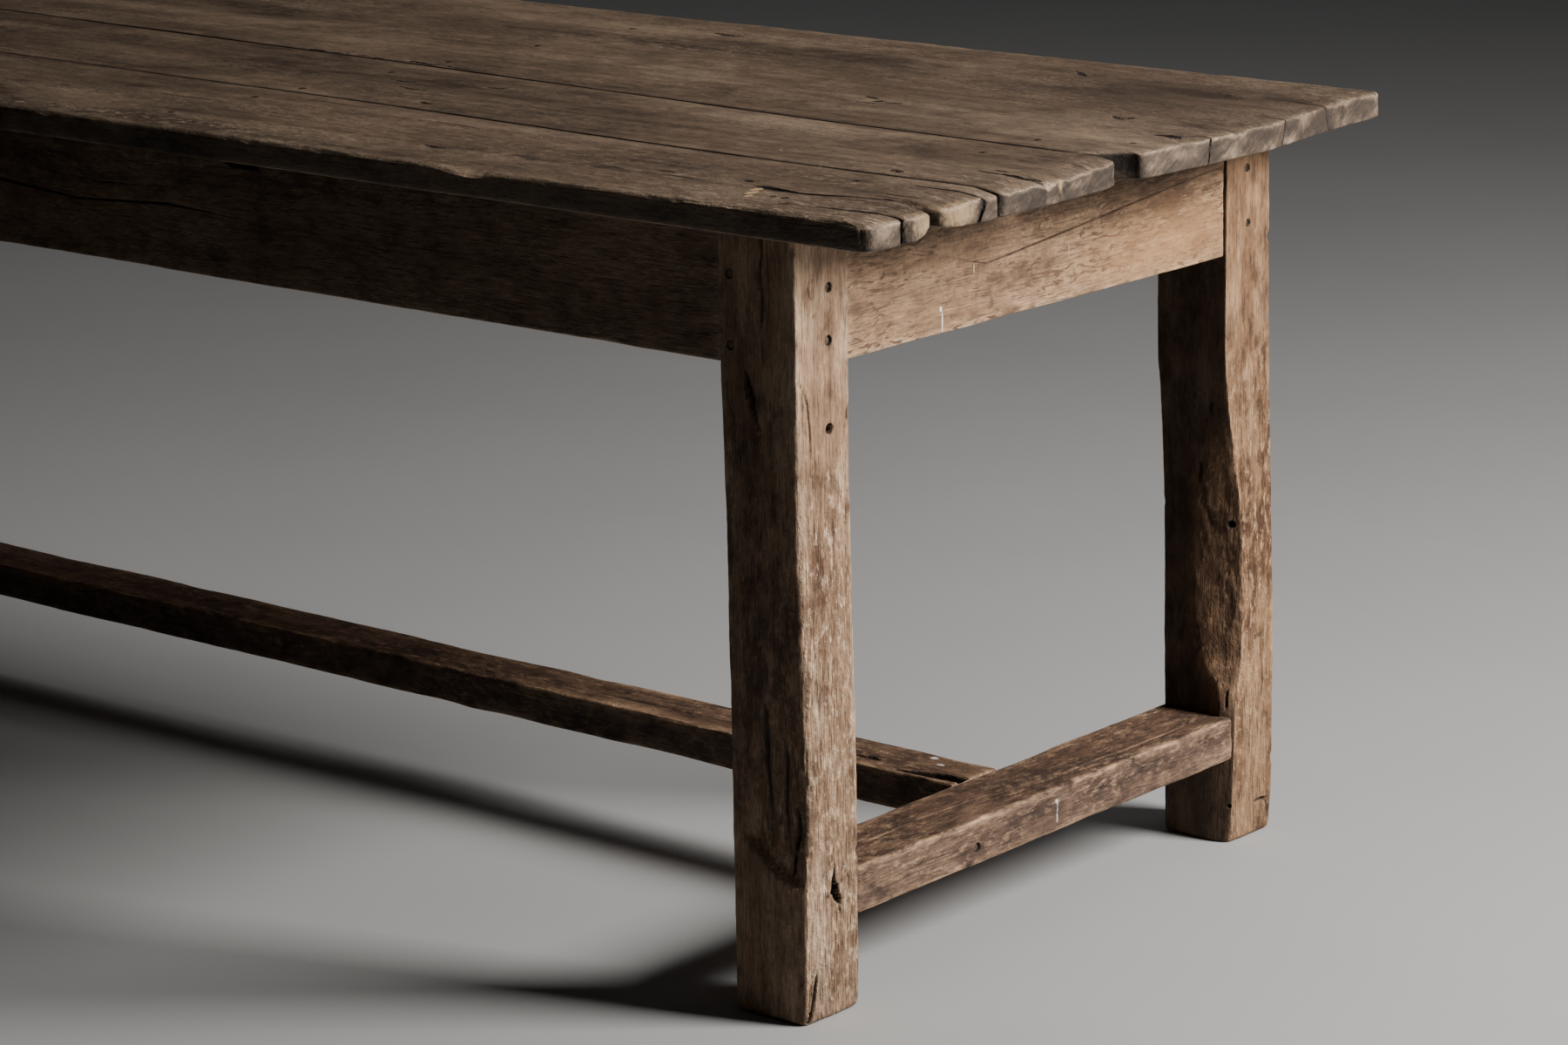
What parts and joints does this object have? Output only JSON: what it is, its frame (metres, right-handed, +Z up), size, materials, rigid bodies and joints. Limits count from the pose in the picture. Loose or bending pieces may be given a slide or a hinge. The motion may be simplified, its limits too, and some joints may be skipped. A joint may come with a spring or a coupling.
{
  "type": "dining_table",
  "caption": "Farmhouse dining table: worn oak board top on hewn legs, with pegged aprons, cross bearers and low stretchers",
  "frame": {"origin": "on the floor under the middle of the board top", "axes": "+X along the length of the table to its right end, +Y to the back, +Z up"},
  "size_m": [2.66, 0.841, 0.76],
  "materials": {
    "oak_top": "aged oak boards, waxed and worn, matte to dull sheen",
    "oak_frame": "aged hewn oak, matte, pale where worn",
    "oak_stretcher": "aged oak, foot-worn upper edges, matte",
    "oak_peg": "dark oak end grain, matte",
    "iron_nail": "old forged iron, dark and lightly rusted"
  },
  "bodies": {
    "root": {"board_front": "oak_top", "board_middle": "oak_top", "board_back": "oak_top", "leg_front_right": "oak_frame", "leg_back_right": "oak_frame", "leg_front_left": "oak_frame", "leg_back_left": "oak_frame", "apron_front": "oak_frame", "apron_back": "oak_frame", "apron_right": "oak_frame", "apron_left": "oak_frame", "bearer_right": "oak_frame", "bearer_left": "oak_frame", "stretcher_right": "oak_stretcher", "stretcher_left": "oak_stretcher", "stretcher_centre": "oak_stretcher", "end_apron_pegs": "oak_peg", "side_apron_pegs": "oak_peg", "stretcher_peg": "oak_peg", "top_nails": "iron_nail"}
  },
  "joints": []
}
